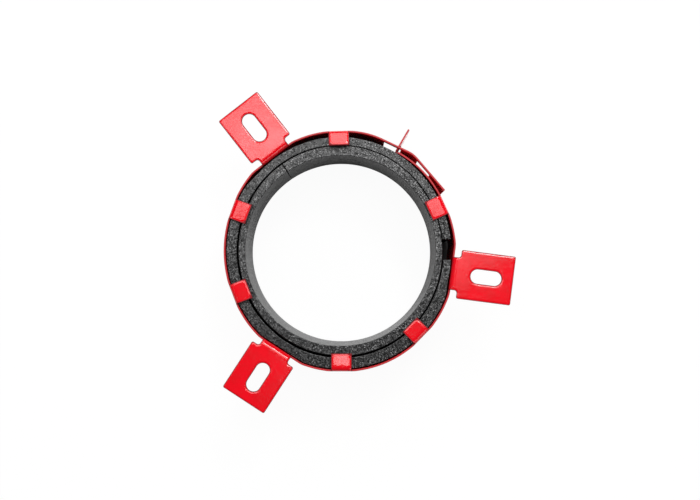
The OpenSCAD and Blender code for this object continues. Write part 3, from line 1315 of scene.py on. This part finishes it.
@dataclass(frozen=True)
class Studio:
    """White studio: a pale floor, soft lamps, an even sky and the camera above the collar."""

    part_bottom: float
    floor_gap: float = 0.0001
    floor_half: float = 3.0
    floor_grey: float = 0.30
    shadow_grey: float = 0.9
    shadow_share: float = 0.05
    # Painted shadow and shade on the floor: rings round the axis, as inner radius in metres and grey, for the
    # camera and for mirrored rays.
    seen_shadow_rings: tuple[Pair, ...] = ((0.0, 1.0), (0.0560, 0.0), (0.0672, 1.0))
    mirrored_shade_rings: tuple[Pair, ...] = ((0.0, 0.7), (0.0568, 0.01), (0.0770, 0.9))
    ring_widest: float = 0.1
    sky_white: Colour = (1.0, 1.0, 1.0)
    sky_seen: float = 1.0
    sky_light: float = 0.08
    eye: Triple = (0.0080, -0.0168, 0.631)
    sensor_w: float = 36.0
    clip_near: float = 0.01
    focal_px: float = 1036.0
    image_w: float = 700.0
    down_px: Pair = (4.0, 29.0)
    lamps: tuple[Lamp, ...] = (
        Lamp("top_panel", (0.0, 0.37, 1.10), (0.0, 0.03, 0.0), (1.1, 0.62), 8.5),
        Lamp("back_panel", (0.0, 1.10, 0.78), (0.0, 0.0, 0.0), (1.0, 0.4), 6.0),
        Lamp("key_panel", (0.32, 0.80, 1.02), (0.0, 0.0, 0.0), (0.4, 0.3), 8.0),
        Lamp("left_panel", (-1.00, -0.10, 0.75), (0.0, 0.0, 0.0), (0.3, 0.8), 2.5),
        Lamp("fill_panel", (0.65, -0.90, 0.60), (0.0, 0.0, 0.0), (1.0, 0.5), 4.0),
        Lamp("front_glint", (-0.006, -0.148, 1.10), (0.0, -0.064, 0.0), (0.08, 0.08), 0.20),
        Lamp("left_glint", (-0.125, 0.195, 1.05), (-0.05, 0.07, 0.0), (0.09, 0.09), 0.09),
        Lamp("right_glint", (0.17, 0.03, 1.08), (0.08, -0.01, 0.0), (0.10, 0.10), 0.06),
    )

    def _rings(self, graph: NodeGraph, rings: tuple[Pair, ...]) -> Socket:
        """Gives each ring of the floor round the bore its own grey, which paints shade onto the floor.

        The distance from the axis, as a share of the widest one, picks a step of a colour ramp.

        Args:
            graph: graph of the floor's material.
            rings: inner radius of each ring, in metres, and its grey.

        Returns:
            The grey.
        """
        place = graph.add("ShaderNodeTexCoord").outputs["Object"]
        flat = graph.vector("MULTIPLY", place, (1.0, 1.0, 0.0))
        away = graph.add("ShaderNodeVectorMath", {0: flat}, operation="LENGTH").outputs["Value"]
        steps = graph.add("ShaderNodeValToRGB", {"Fac": graph.math("DIVIDE", away, self.ring_widest)})
        stops = steps.color_ramp.elements
        steps.color_ramp.interpolation = "CONSTANT"
        stops.remove(stops[1])
        for i, (radius, grey) in enumerate(rings):
            stop = stops[0] if i == 0 else stops.new(radius / self.ring_widest)
            stop.color = (grey, grey, grey, 1)
        return steps.outputs["Color"]

    def _floor(self) -> None:
        """Lays the floor: white to the camera, with a faint shadow, and lit as it lies to other light, with
        painted shade round the collar.

        The camera sees mostly an even white, with a painted black shadow where the strips cover the floor.
        Mirrored and passing rays see a white floor with the collar's full shadow, and painted shade that dims
        it in the bore and darkens it under the collar.
        Bounced light sees a pale grey.
        """
        half, level = self.floor_half, self.part_bottom - self.floor_gap
        mesh = bpy.data.meshes.new("floor")
        corners = [(-half, -half), (half, -half), (half, half), (-half, half)]
        mesh.from_pydata([(x, y, level) for x, y in corners], [], [(0, 1, 2, 3)])
        floor = bpy.data.objects.new("floor", mesh)
        bpy.context.scene.collection.objects.link(floor)
        material = bpy.data.materials.new("white_floor")
        material.use_nodes = True
        graph = NodeGraph(material.node_tree)
        ray = graph.add("ShaderNodeLightPath").outputs
        # White to the camera, with a painted black shadow under the strips; the mirrored floor's grey carries
        # painted shade in the bore and under the collar.
        white = graph.add("ShaderNodeEmission", {"Color": self._rings(graph, self.seen_shadow_rings)})
        shadow, plain, mirror = (
            graph.add("ShaderNodeBsdfDiffuse", {"Color": colour}).outputs["BSDF"]
            for colour in (
                (self.shadow_grey,) * 3, (self.floor_grey,) * 3, self._rings(graph, self.mirrored_shade_rings),
            )
        )
        shown = graph.mix(self.shadow_share, white.outputs["Emission"], shadow)
        mirrored = graph.math("MAXIMUM", ray["Is Glossy Ray"], ray["Is Transmission Ray"])
        both = graph.mix(ray["Is Camera Ray"], graph.mix(mirrored, plain, mirror), shown)
        graph.add("ShaderNodeOutputMaterial", {"Surface": both})
        mesh.materials.append(material)

    def _sky(self) -> None:
        """Sets the world: white to the camera and an even soft light to the collar."""
        world = bpy.data.worlds.new("studio_sky")
        world.use_nodes = True
        graph = NodeGraph(world.node_tree)
        light, seen = (
            graph.add("ShaderNodeBackground", {"Color": self.sky_white, "Strength": strength}).outputs[0]
            for strength in (self.sky_light, self.sky_seen)
        )
        both = graph.mix(graph.add("ShaderNodeLightPath").outputs["Is Camera Ray"], light, seen)
        graph.add("ShaderNodeOutputWorld", {"Surface": both})
        bpy.context.scene.world = world

    def _camera(self) -> None:
        """Sets the camera: straight down lies a little below and right of the picture's middle."""
        data = bpy.data.cameras.new("camera")
        data.sensor_width = self.sensor_w
        data.lens = self.focal_px / self.image_w * data.sensor_width
        data.clip_start = self.clip_near
        camera = bpy.data.objects.new("camera", data)
        right, down = self.down_px
        tilt = Matrix.Rotation(math.atan2(down, self.focal_px), 4, "X")
        lean = Matrix.Rotation(math.atan2(right, self.focal_px), 4, "Y")
        camera.matrix_world = Matrix.Translation(self.eye) @ tilt @ lean
        bpy.context.scene.collection.objects.link(camera)
        bpy.context.scene.camera = camera

    def build(self) -> None:
        """Sets up the floor, sky, lamps and camera, and the plain view transform."""
        self._floor()
        self._sky()
        for lamp in self.lamps:
            lamp.build()
        self._camera()
        bpy.context.scene.view_settings.view_transform = "Standard"


def write_sizes() -> None:
    bpy.context.view_layer.update()


def main() -> None:
    """Builds the band, the two strips and the studio."""
    logging.basicConfig(level=logging.INFO, format="%(name)s: %(message)s")
    sizes = CollarSizes()
    graphite = Graphite("graphite", (0.001, 0.001, 0.001), (0.020, 0.020, 0.021), (0.12, 0.12, 0.12))
    lighter = Graphite("lighter_graphite", (0.002, 0.002, 0.002), (0.040, 0.040, 0.042), (0.14, 0.14, 0.14))
    band = FoldedBand(sizes, PowderCoat(), name="folded_band", node="band", slot="red_coat")
    outer = GraphiteStrip(
        sizes, graphite, name="outer_graphite", node="outer_strip", slot="graphite", seed=7,
        inner_r=sizes.outer_r0, bevel=sizes.fold_r, wall=band.plan,
        centre=tuple(sizes.strip_shift * unit(math.radians(sizes.strip_shift_angle))[0]),
        butt_angle=sizes.outer_butt_angle, butt_w=sizes.outer_butt_w,
    )
    inner = GraphiteStrip(
        sizes, lighter, name="inner_graphite", node="inner_strip", slot="lighter_graphite", seed=11,
        inner_r=sizes.bore_d / 2, centre=(0.0, 0.0),
        butt_angle=sizes.inner_butt_angle, butt_w=sizes.inner_butt_w,
    )
    for piece in (band, outer, inner):
        mesh = piece.dress().data
        LOG.info("%s stands for %s: %d points, %d faces", piece.name, piece.node, len(mesh.vertices),
                 len(mesh.polygons))
    Studio(part_bottom=CAD_BOX[0].z).build()
    write_sizes()


if __name__ == "__main__":
    main()
